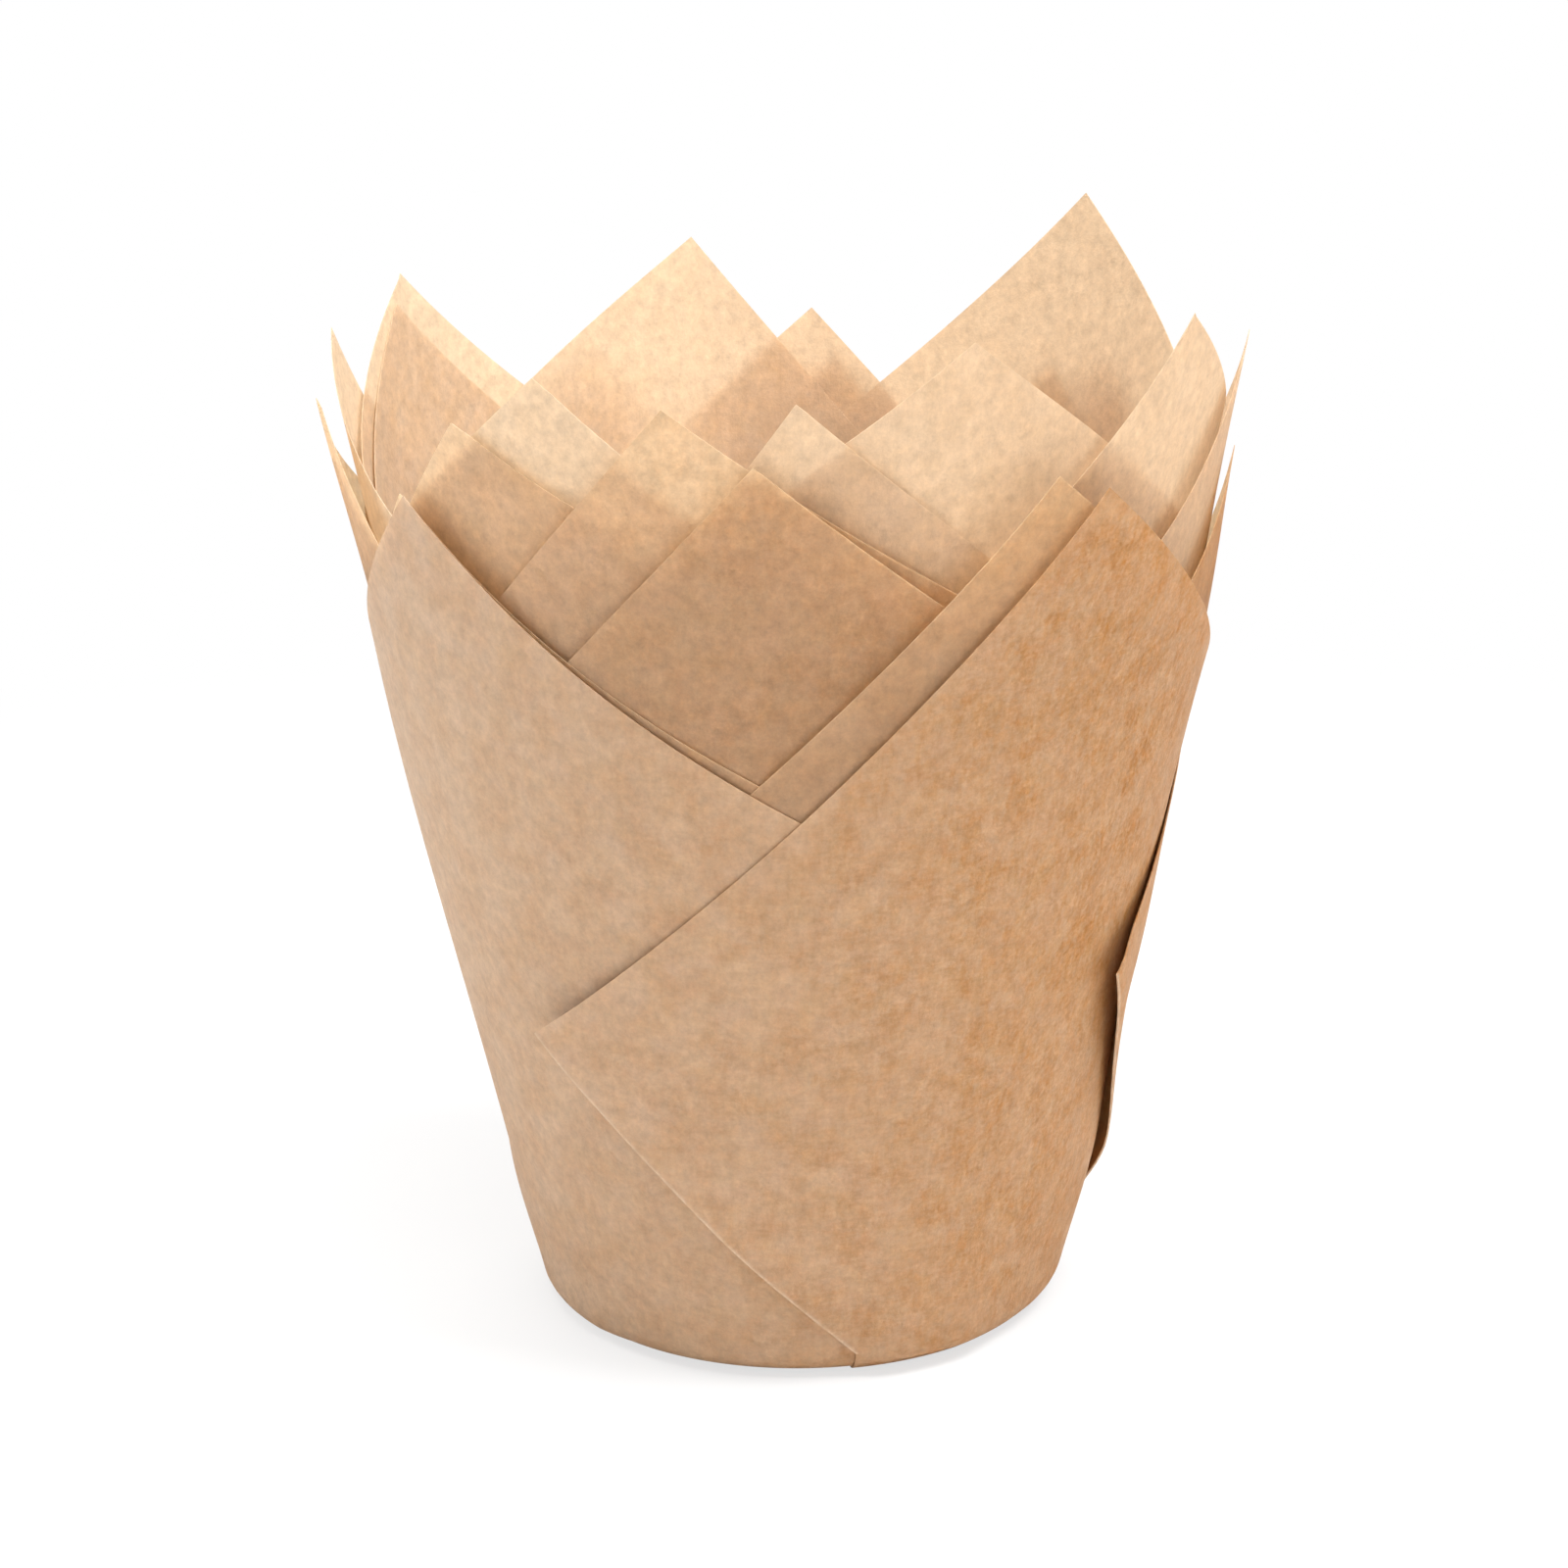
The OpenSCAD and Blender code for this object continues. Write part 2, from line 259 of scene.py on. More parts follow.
class Pleat:
    """The paper laid over on the left of a petal: it doubles back at the
    crease, runs under the flap to the tuck and turns into the next panel."""

    def __init__(self, f, left, own):
        tip = f.unrolled(own.angle, own.reach)
        left_tip = f.unrolled(left.angle, left.reach)
        edge = heading(tip, own.left - 45)
        left_edge = heading(left_tip, left.right + 45)
        self.lift = own.lift
        self.tip = tip
        self.corner = tip + own.flap * edge
        notch = np.linalg.solve(np.array([left_edge, -edge]).T, tip - left_tip)[0]
        self.tuck_end = left_tip + (notch + f.tuck_cover) * left_edge
        self.foot = own.angle - f.crease_foot
        self.tuck = own.angle - f.tuck_foot
        self.corner_angle = f.angle_of(self.corner)
        self.end_angle = f.angle_of(self.tuck_end)
        low, high = sorted((self.end_angle, self.foot))
        first = ribs(self.corner_angle, low)
        second = ribs(low, high)
        third = ribs(high, self.tuck)
        crossed = self.end_angle < self.foot
        self.crease_ribs = first + second if crossed else first
        self.tuck_ribs = (second if crossed else []) + third + [self.tuck]
        self.layer_ribs = first + second + third + [self.tuck]
        self.crease_end = f.unrolled(self.foot, f.edge_tangent)
        self.tuck_low = f.unrolled(self.tuck, f.edge_tangent)
        self.start = (self.foot + self.tuck) / 2
        self.f = f

    def crease_height(self, a):
        return self.f.height_on(self.corner, self.crease_end, a)

    def tuck_height(self, a):
        return self.f.height_on(self.tuck_end, self.tuck_low, a)

    def layer_foot(self, a):
        return self.crease_height(a) if a < self.foot else self.f.edge_tangent

    def layer_top(self, a):
        if a <= self.end_angle:
            return self.f.height_on(self.corner, self.tuck_end, a)
        return self.tuck_height(a)

    def tuck_step(self, a, side):
        return (side - 1) * self.f.fold_step if a >= self.end_angle else 0.0

    def raised(self, angle, s):
        """How far the flap stands off the wall, most at its folded corner"""
        angle = np.asarray(angle)
        reach = self.foot - self.corner_angle
        out = self.lift * smooth((self.foot - 4 - angle) / reach) ** 1.3
        above = self.f.cone - np.hypot(*self.corner) + s
        out = out * smooth((s - self.f.edge_tangent) / 20) * np.exp(-((above / FLAP_FADE) ** 2))
        rise = self.f.crease_rise if self.lift else 0.0
        rounded = rise * np.exp(-((self.from_crease(angle, s) / CREASE_FADE) ** 2))
        return out + rounded * smooth((s - self.f.edge_tangent) / 12)

    def from_crease(self, angle, s):
        """Distance from the crease on the unrolled wall"""
        a = np.radians(angle) * self.f.sin
        x, y = (self.f.cone + s) * np.sin(a), (self.f.cone + s) * np.cos(a)
        along = self.crease_end - self.corner
        across = (x - self.corner[0]) * along[1] - (y - self.corner[1]) * along[0]
        return across / np.hypot(*along)

    def layer_columns(self, side):
        n = self.f.pitch + (1 - side) * self.f.paper
        last = len(self.layer_ribs) - 1
        for j, a in enumerate(self.layer_ribs):
            low = a + (side * self.f.fold_step if a <= self.foot else 0.0)
            low += (side - 1) * self.f.fold_step if j == last else 0.0
            high = a + (side * self.f.fold_step if j == 0 else 0.0)
            high += self.tuck_step(a, side)
            yield low, self.layer_foot(a), high, self.layer_top(a), n


class Panel:
    """The paper from one petal's crease to the next petal's tuck"""

    def __init__(self, f, own, pleat, after):
        self.f, self.own, self.pleat, self.after = f, own, pleat, after
        self.tip = pleat.tip
        self.dipped = max(after.corner_angle, own.angle + 1)
        self.ribs = (
            pleat.crease_ribs
            + ribs(pleat.foot, own.angle)
            + ribs(own.angle, self.dipped)
            + ribs(self.dipped, after.end_angle)
            + after.tuck_ribs
        )

    def raised(self, angle, s):
        """How far the panel stands off the wall: its flap, its tip, its foot"""
        tip = self.own.lean * smooth((s - self.own.reach + LEAN_LENGTH) / LEAN_LENGTH) ** 1.5
        foot = self.lip(angle) * (1 - smooth((s - self.f.edge_tangent) / 16))
        return self.pleat.raised(angle, s) + tip + foot

    def from_crease(self, angle, s):
        return self.pleat.from_crease(angle, s)

    def lip(self, angle):
        angle = np.asarray(angle)
        begins = smooth((angle - self.pleat.foot) / 8)
        return self.own.lip * begins * smooth((self.own.angle + 12 - angle) / 14)

    def depth(self, a, side):
        """The panel dips in to pass under the next flap"""
        share = (a - self.own.angle) / (self.dipped - self.own.angle)
        return 2 * self.f.pitch * min(1.0, max(0.0, share)) + side * self.f.paper

    def foot(self, a):
        return self.pleat.crease_height(a) if a < self.pleat.foot else self.f.edge_tangent

    def top(self, a):
        if a <= self.own.angle:
            return self.f.height_on(self.tip, self.pleat.corner, a)
        if a <= self.after.end_angle:
            return self.f.height_on(self.tip, self.after.tuck_end, a)
        return self.after.tuck_height(a)

    def columns(self, side):
        last = len(self.ribs) - 1
        for j, a in enumerate(self.ribs):
            low = a + (side * self.f.fold_step if a <= self.pleat.foot else 0.0)
            low += (side - 1) * self.f.fold_step if j == last else 0.0
            high = a + (side * self.f.fold_step if j == 0 else 0.0)
            high += self.after.tuck_step(a, side)
            yield low, self.foot(a), high, self.top(a), self.depth(a, side)

    def feet(self, side):
        """Columns that reach the base, across the panel and back along the
        layer under the next flap: angle, depth, angle where the pleats begin,
        how far it stands off the edge"""
        a0, a1 = self.pleat.foot, self.after.tuck
        t0, t1 = self.pleat.start, self.after.start
        step = self.f.fold_step
        for a in (a for a in self.ribs if a >= a0):
            end = side if a == a0 else side - 1 if a == a1 else 0
            start = t0 + (t1 - t0) * (a - a0) / (a1 - a0)
            start += side * step if a in (a0, a1) else 0.0
            yield a + end * step, self.depth(a, side), start, float(self.lip(a + end * step))
        back = [a for a in self.after.layer_ribs if a >= self.after.foot]
        for j in range(len(back) - 1, -1, -1):
            end = side if j == 0 else side - 1 if j == len(back) - 1 else 0
            n = self.f.pitch + (1 - side) * self.f.paper
            yield back[j] + end * step, n, t1 + side * step, 0.0


class FoldedSheet:
    """One square of paper folded to a cup, as the points and faces of a mesh"""

    def __init__(self, f, number, petals, partings):
        self.f, self.number, self.partings = f, number, partings
        self.points, self.faces, self.near = [], [], []
        before = petals[-1]._replace(angle=petals[-1].angle - 360)
        beyond = petals[0]._replace(angle=petals[0].angle + 360)
        chain = [before, *petals, beyond]
        pleats = [Pleat(f, chain[k], chain[k + 1]) for k in range(5)]
        self.panels = [Panel(f, chain[k + 1], pleats[k], pleats[k + 1]) for k in range(4)]
        rims = [self.side(0), self.side(1)]
        self.close(*rims)

    def stand_off(self, angle, z, s):
        """Move outwards that the loose paper makes at a height above the base"""
        t = np.clip(z / self.f.height, 0.0, 1.3)
        out = self.f.belly * 4 * t * (1 - t)
        for p in self.partings:
            if p.sheet < self.number:
                opens = smooth((z - p.low) / (p.high - p.low))
                out = out - p.width * bump(angle, p.angle, p.spread) * opens
        out = out - SHEET_INSET * (self.number - 1) * smooth((z - 40) / 45)
        return out * smooth((s - self.f.edge_tangent) / 14)

    def on_wall(self, angle, s, n, raised=0.0):
        z = s * self.f.cos + n * self.f.sin + (self.number - 1) * self.f.rise
        r = self.f.base_r + s * self.f.sin - n * self.f.cos
        r = r + self.stand_off(angle, z, s) + raised
        a = np.radians(angle)
        return np.stack([r * np.sin(a), -r * np.cos(a), z + 0 * r], -1)

    def on_edge(self, angle, n, share, lip=0.0):
        f = self.f
        r = f.base_r - f.edge_tangent + (f.edge_r - n) * np.sin(share * f.edge_turn)
        r = r + lip * smooth((share - 0.6) / 0.2)
        z = f.edge_r - (f.edge_r - n) * np.cos(share * f.edge_turn)
        a = np.radians(angle)
        z = z + (self.number - 1) * f.rise
        return np.stack([r * np.sin(a), -r * np.cos(a), z, 0 * z], -1)

    def grid(self, rows, flip):
        """Adds a grid of points, given as rows of points with how near a crease
        each one is, and its faces"""
        rows = np.asarray(rows, float)
        first = len(self.points)
        self.points.extend(rows.reshape(-1, 4)[:, :3])
        self.near.extend(rows.reshape(-1, 4)[:, 3])
        count, across = rows.shape[:2]
        for i in range(count - 1):
            for j in range(across - 1):
                a = first + i * across + j
                face = [a, a + 1, a + across + 1, a + across]
                self.faces.append(face[::-1] if flip else face)

    def wall(self, columns, part):
        """Rows of points up the wall over a part's columns, which are (low
        angle, foot, high angle, top, depth)"""
        low, foot, high, top, n = np.array(list(columns)).T
        rows = []
        for share in np.linspace(0, 1, WALL_ROWS + 1):
            angle, s = low + (high - low) * share, foot + (top - foot) * share
            points = self.on_wall(angle, s, n, part.raised(angle, s))
            near = np.maximum(1 - np.abs(part.from_crease(angle, s)) / CREASE_REACH, 0.0)
            rows.append(np.column_stack([points, near]))
        return np.array(rows)

    def side(self, side):
        """One face of the paper. Returns its cut edge, once round."""
        rim, feet = [], []
        layers = [self.wall(p.after.layer_columns(side), p.after) for p in self.panels]
        for k, p in enumerate(self.panels):
            wall = self.wall(p.columns(side), p)
            layer, own_layer = layers[k], layers[k - 1]
            self.grid(wall, side == 1)
            self.grid(layer, side == 0)
            creased = len(p.pleat.crease_ribs) + 1
            self.grid([own_layer[0][:creased], wall[0][:creased]], side == 1)
            tucked = len(p.after.tuck_ribs)
            self.grid([wall[-1][-tucked:], layer[-1][-tucked:]], side == 1)
            rim.extend(wall[-1][: len(p.ribs) - tucked + 1])
            rim.extend(layer[-1][: len(p.after.layer_ribs) - tucked + 1][::-1])
            feet.extend(p.feet(side))
        feet.append(feet[0])
        angle, n, start, lip = np.array(feet).T
        rows = [self.on_edge(angle, n, share, lip) for share in np.linspace(1, 0, EDGE_ROWS + 1)]
        outer = self.f.base_r - self.f.edge_tangent
        for share in np.linspace(0, 1, UNDER_ROWS + 1)[1:]:
            a = np.radians(angle + (start - angle) * share)
            r = outer + (self.f.start_r - outer) * share
            z = n + (self.number - 1) * self.f.rise
            rows.append(np.stack([r * np.sin(a), -r * np.cos(a), z, 0 * z], -1))
        middle = rows[-1].copy()
        middle[:] = (0, 0, side * self.f.paper + (self.number - 1) * self.f.rise, 0)
        rows.append(middle)
        self.grid(rows[::-1], side == 1)
        return rim

    def close(self, outer, inner):
        """The cut edge of the paper, between its two faces"""
        self.grid([outer + outer[:1], inner + inner[:1]], False)

    def mesh(self, name):
        mesh = bpy.data.meshes.new(name)
        points = self.f.press(self.points) * MM
        keys = np.round(points / (WELD * MM)).astype(np.int64)
        _, first, index = np.unique(keys, axis=0, return_index=True, return_inverse=True)
        index = index.reshape(-1)
        near = np.zeros(len(first))
        np.maximum.at(near, index, self.near)
        faces = []
        for face in self.faces:
            corners = [int(index[v]) for v in face]
            kept = [c for j, c in enumerate(corners) if c != corners[j - 1]]
            if len(set(kept)) == len(kept) and len(kept) > 2:
                faces.append(kept)
        mesh.from_pydata(points[first].tolist(), [], faces)
        nearness = mesh.attributes.new("near_crease", "FLOAT", "POINT")
        nearness.data.foreach_set("value", near)
        mesh.validate()
        mesh.update()
        mesh.shade_smooth()
        mesh.set_sharp_from_angle(angle=math.radians(SHARP_FOLD))
        return mesh


def node(tree, kind, place, **values):
    made = tree.nodes.new(kind)
    made.location = place
    for name, value in values.items():
        setattr(made, name, value)
    return made


def socket(group, name, way, kind, default=None, low=None, high=None):
    made = group.interface.new_socket(name=name, in_out=way, socket_type=kind)
    if default is not None:
        made.default_value = default
    if low is not None:
        made.min_value, made.max_value = low, high
    return made


def fibre_group():
    """Cloudy pulp and fine fibres of greaseproof paper: masks of how dense the
    pulp is, of the fibres, of the painted side light from warm on the right to
    pink on the left with a little random drift, and of the grain, and a height
    for the surface"""
    found = bpy.data.node_groups.get("paper pulp")
    if found:
        return found
    g = bpy.data.node_groups.new("paper pulp", "ShaderNodeTree")
    socket(g, "Cloud Size", "INPUT", "NodeSocketFloat", 0.004, 0.0005, 0.05)
    socket(g, "Fibre Size", "INPUT", "NodeSocketFloat", 0.0006, 0.0001, 0.01)
    socket(g, "Offset", "INPUT", "NodeSocketFloat", 0.0, -10.0, 10.0)
    for name in ("Pulp", "Fibre", "Height", "Painted Side Light And Drift", "Grain"):
        socket(g, name, "OUTPUT", "NodeSocketFloat")
    into = node(g, "NodeGroupInput", (-900, 0))
    out = node(g, "NodeGroupOutput", (900, 0))
    place = node(g, "ShaderNodeTexCoord", (-900, 300))
    shift = node(g, "ShaderNodeVectorMath", (-700, 300), operation="ADD")
    g.links.new(place.outputs["Object"], shift.inputs[0])
    g.links.new(into.outputs["Offset"], shift.inputs[1])

    def noise(size_socket, factor, detail, rough, at, stretch=None):
        scale = node(g, "ShaderNodeMath", (at[0] - 200, at[1] - 120), operation="DIVIDE")
        scale.inputs[0].default_value = factor
        g.links.new(size_socket, scale.inputs[1])
        made = node(g, "ShaderNodeTexNoise", at)
        made.inputs["Detail"].default_value = detail
        made.inputs["Roughness"].default_value = rough
        source = shift.outputs[0]
        if stretch:
            bent = node(g, "ShaderNodeMapping", (at[0] - 200, at[1] + 120))
            bent.inputs["Rotation"].default_value = stretch[0]
            bent.inputs["Scale"].default_value = stretch[1]
            g.links.new(source, bent.inputs["Vector"])
            source = bent.outputs[0]
        g.links.new(source, made.inputs["Vector"])
        g.links.new(scale.outputs[0], made.inputs["Scale"])
        return made.outputs["Fac"]

    cloud = noise(into.outputs["Cloud Size"], 1.0, 4.0, 0.62, (-300, 500))
    drift = noise(into.outputs["Cloud Size"], 0.6, 3.0, 0.6, (-300, 800))
    fine = noise(into.outputs["Fibre Size"], 1.0, 3.0, 0.6, (-300, 200))
    grain = noise(into.outputs["Fibre Size"], 0.3, 4.0, 0.8, (-300, 1300))
    g.links.new(grain, out.inputs["Grain"])
    # Two layers of fibres that lie in different directions: rotation and scale
    one_way, other_way = ((0.2, 0.4, 0.7), (1.0, 1.0, 0.2)), ((1.1, 0.3, 0.2), (0.2, 1.0, 1.0))
    first = noise(into.outputs["Fibre Size"], 0.8, 2.0, 0.5, (-300, -100), one_way)
    second = noise(into.outputs["Fibre Size"], 0.8, 2.0, 0.5, (-300, -400), other_way)

    def mix(a, b, share, at):
        made = node(g, "ShaderNodeMix", at, data_type="FLOAT")
        made.inputs["Factor"].default_value = share
        g.links.new(a, made.inputs["A"])
        g.links.new(b, made.inputs["B"])
        return made.outputs["Result"]

    def spread(value, low, high, at):
        made = node(g, "ShaderNodeMapRange", at)
        made.inputs["From Min"].default_value = low
        made.inputs["From Max"].default_value = high
        g.links.new(value, made.inputs["Value"])
        return made.outputs["Result"]

    fibres = mix(first, second, 0.5, (0, -200))
    pulp = mix(cloud, fine, 0.5, (0, 400))
    height = mix(fine, fibres, 0.5, (0, 100))
    g.links.new(spread(pulp, 0.34, 0.6, (300, 400)), out.inputs["Pulp"])
    g.links.new(spread(fibres, 0.4, 0.66, (300, 0)), out.inputs["Fibre"])
    g.links.new(spread(height, 0.3, 0.7, (300, -300)), out.inputs["Height"])
    # Painted side light: warm towards the right (+X), pink and paler towards the left, for how the
    # light falls on the two sides; a little random drift of the pulp is mixed in
    split = node(g, "ShaderNodeSeparateXYZ", (-300, 1000))
    g.links.new(place.outputs["Object"], split.inputs[0])
    across = spread(split.outputs["X"], 0.028, -0.034, (0, 1000))
    side_light_and_drift = mix(across, spread(drift, 0.38, 0.62, (300, 700)), 0.22, (600, 800))
    g.links.new(side_light_and_drift, out.inputs["Painted Side Light And Drift"])
    return g


def paper_material(number, finish):
    """Brown greaseproof paper that lets some light through"""
    mat = bpy.data.materials.new(f"greaseproof_paper_{number}")
    mat.use_nodes = True
    t = mat.node_tree
    t.nodes.clear()
    out = node(t, "ShaderNodeOutputMaterial", (900, 0))
    surface = node(t, "ShaderNodeBsdfPrincipled", (300, 200))
    through = node(t, "ShaderNodeBsdfTranslucent", (300, -400))
    both = node(t, "ShaderNodeMixShader", (650, 0))
    both.inputs[0].default_value = finish.translucency * THINNESS[number - 1]
    t.links.new(surface.outputs[0], both.inputs[1])
    t.links.new(through.outputs[0], both.inputs[2])
    t.links.new(both.outputs[0], out.inputs["Surface"])

    pulp = node(t, "ShaderNodeGroup", (-700, 0))
    pulp.node_tree = fibre_group()
    pulp.inputs["Cloud Size"].default_value = finish.cloud_size
    pulp.inputs["Fibre Size"].default_value = finish.fibre_size
    pulp.inputs["Offset"].default_value = 0.137 * number

    def blend(a, b, factor, at):
        made = node(t, "ShaderNodeMix", at, data_type="RGBA")
        for name, value in (("A", a), ("B", b)):
            if isinstance(value, bpy.types.NodeSocket):
                t.links.new(value, made.inputs[name])
            else:
                made.inputs[name].default_value = value
        t.links.new(factor, made.inputs["Factor"])
        return made.outputs["Result"]

    shade = node(t, "ShaderNodeMapRange", (-400, 800))
    shade.inputs["To Min"].default_value = 1 - finish.grain
    shade.inputs["To Max"].default_value = 1 + finish.grain
    t.links.new(pulp.outputs["Grain"], shade.inputs["Value"])

    def grained(value, at):
        made = node(t, "ShaderNodeHueSaturation", at)
        t.links.new(value, made.inputs["Color"])
        t.links.new(shade.outputs["Result"], made.inputs["Value"])
        return made.outputs["Color"]

    # Painted side light: the paper is painted warm on the right and pink on the left
    warm, pink = tuple(finish.warm_right_colour), tuple(finish.pink_left_colour)
    base = blend(warm, pink, pulp.outputs["Painted Side Light And Drift"], (-400, 300))
    # Painted light: how far this sheet's paper and glow are painted paler
    pale = node(t, "ShaderNodeValue", (-700, -300))
    pale.outputs[0].default_value = PAINTED_PALLOR[number - 1]
    base = blend(base, tuple(finish.lit_pale_colour), pale.outputs[0], (-300, 300))
    dense = node(t, "ShaderNodeMapRange", (-400, 150))
    dense.inputs["To Min"].default_value = 0.5
    t.links.new(pulp.outputs["Pulp"], dense.inputs["Value"])
    thin = blend(tuple(finish.thin_colour), base, dense.outputs["Result"], (-200, 200))
    fibre_share = node(t, "ShaderNodeMath", (-400, 0), operation="MULTIPLY")
    fibre_share.inputs[1].default_value = finish.fibre_strength
    t.links.new(pulp.outputs["Fibre"], fibre_share.inputs[0])
    colour = blend(thin, tuple(finish.fibre_colour), fibre_share.outputs[0], (0, 200))
    crease = node(t, "ShaderNodeAttribute", (-700, 600), attribute_name="near_crease")
    line = node(t, "ShaderNodeMapRange", (-500, 600), interpolation_type="SMOOTHSTEP")
    line.inputs["From Min"].default_value = 1 - finish.crease_wear / MM / CREASE_REACH
    t.links.new(crease.outputs["Fac"], line.inputs["Value"])
    worn = node(t, "ShaderNodeMath", (-300, 600), operation="MULTIPLY")
    t.links.new(line.outputs["Result"], worn.inputs[0])
    t.links.new(pulp.outputs["Pulp"], worn.inputs[1])
    colour = blend(colour, tuple(finish.worn_colour), worn.outputs[0], (150, 300))
    t.links.new(grained(colour, (200, 500)), surface.inputs["Base Color"])
    glow, dense_glow = tuple(finish.glow_colour), tuple(finish.dense_glow_colour)
    glow = blend(glow, dense_glow, pulp.outputs["Pulp"], (0, -400))
    glow = blend(glow, tuple(finish.lit_pale_glow_colour), pale.outputs[0], (150, -400))
    t.links.new(grained(glow, (200, -600)), through.inputs["Color"])

    rough = node(t, "ShaderNodeMapRange", (0, 0))
    rough.inputs["To Min"].default_value = 0.5
    rough.inputs["To Max"].default_value = 0.68
    t.links.new(pulp.outputs["Pulp"], rough.inputs["Value"])
    t.links.new(rough.outputs["Result"], surface.inputs["Roughness"])
    surface.inputs["Specular IOR Level"].default_value = 0.35
    relief = node(t, "ShaderNodeBump", (0, -200))
    relief.inputs["Strength"].default_value = 0.5
    relief.inputs["Distance"].default_value = 0.00006
    t.links.new(pulp.outputs["Height"], relief.inputs["Height"])
    t.links.new(relief.outputs["Normal"], surface.inputs["Normal"])
    t.links.new(relief.outputs["Normal"], through.inputs["Normal"])
    return mat


def stage_material(finish):
    """Pale floor that shows the object's shadow and is white to the camera"""
    mat = bpy.data.materials.new("pale_floor")
    mat.use_nodes = True
    t = mat.node_tree
    t.nodes.clear()
    out = node(t, "ShaderNodeOutputMaterial", (600, 0))
    matt = node(t, "ShaderNodeBsdfPrincipled", (0, 200))
    matt.inputs["Base Color"].default_value = (*finish.floor_colour, 1)
    matt.inputs["Roughness"].default_value = 0.9
    matt.inputs["Specular IOR Level"].default_value = 0.0
    white = node(t, "ShaderNodeEmission", (0, -200))
    white.inputs["Strength"].default_value = 1.0
    seen = node(t, "ShaderNodeLightPath", (-400, 0))
    place = node(t, "ShaderNodeTexCoord", (-1000, -200))
    away = node(t, "ShaderNodeVectorMath", (-800, -200), operation="LENGTH")
    t.links.new(place.outputs["Object"], away.inputs[0])
    fade = node(t, "ShaderNodeMapRange", (-600, -200), interpolation_type="SMOOTHSTEP")
    fade.inputs["From Min"].default_value = 0.04
    fade.inputs["From Max"].default_value = finish.shadow_reach
    fade.inputs["To Min"].default_value = finish.floor_glow
    t.links.new(away.outputs["Value"], fade.inputs["Value"])
    share = node(t, "ShaderNodeMath", (-200, 0), operation="MULTIPLY")
    t.links.new(seen.outputs["Is Camera Ray"], share.inputs[0])
    t.links.new(fade.outputs["Result"], share.inputs[1])
    both = node(t, "ShaderNodeMixShader", (300, 0))
    t.links.new(share.outputs[0], both.inputs[0])
    t.links.new(matt.outputs[0], both.inputs[1])
    t.links.new(white.outputs[0], both.inputs[2])
    t.links.new(both.outputs[0], out.inputs["Surface"])
    return mat


def length(name, description, default):
    return FloatProperty(
        name=name,
        description=description,
        default=default,
        min=0.0,
        unit="LENGTH",
        precision=5,
    )


def angle(name, description, default):
    return FloatProperty(
        name=name,
        description=description,
        default=math.radians(default),
        unit="ROTATION",
    )


def colour(name, description, default):
    return FloatVectorProperty(
        name=name,
        description=description,
        default=(*default, 1.0),
        size=4,
        min=0.0,
        max=1.0,
        subtype="COLOR",
    )


def share(name, description, default):
    return FloatProperty(
        name=name,
        description=description,
        default=default,
        min=0.0,
        max=1.0,
        subtype="FACTOR",
    )


def power(name, description, default):
    return FloatProperty(name=name, description=description, default=default, unit="POWER")


# The camera was fitted to the outline, the folds and the petals' tips in a
# square picture. Its lens and centre are given in pixels of that picture.
PICTURE = 1600
FOCAL_PIXELS = 3566
CENTRE_ACROSS, CENTRE_DOWN = 813.2, 831.4
SENSOR = 36.0


class LinerSizes(bpy.types.PropertyGroup):
    sheet_side: length("Sheet side", "Side of each square of paper", 0.150)
    base_diameter: length("Base diameter", "Diameter of the flat base", 0.050)
    wall_lean: angle("Wall lean", "Lean of the wall outwards from upright", 11.0)
    wall_height: length("Wall height", "Height over which the wall's belly is spread", 0.090)
    edge_radius: length("Edge radius", "Radius pressed into the edge of the base", 0.003)
    paper_thickness: length("Paper thickness", "Thickness of the paper", 0.00006)
    layer_gap: length("Layer gap", "Air between the layers of one pleat", 0.00004)
    crease_rise: length("Crease rise", "How far the paper stands off along an outer crease", 0.0009)
    nest_rise: length("Nest rise", "How far each sheet stands above the one outside it", 0.001834)
    belly: length("Belly", "How far the wall bulges at half height", 0.0004)
    foot_draw: length("Foot draw", "How far the foot is drawn in from the former", 0.00085)
    mouth_shift: length("Mouth shift", "How far the mouth leans to the left", 0.0005)
    pleat_start_radius: length("Pleat start", "Radius under the base where the pleats begin", 0.014)
    tuck_cover: length("Tuck cover", "How far the inner fold ends below the flap's edge", 0.0006)
    crease_foot: angle("Crease foot", "Angle from a petal back to its crease at the base", 25.3)
    tuck_foot: angle("Tuck foot", "Angle from a petal back to its tuck at the base", 3.0)


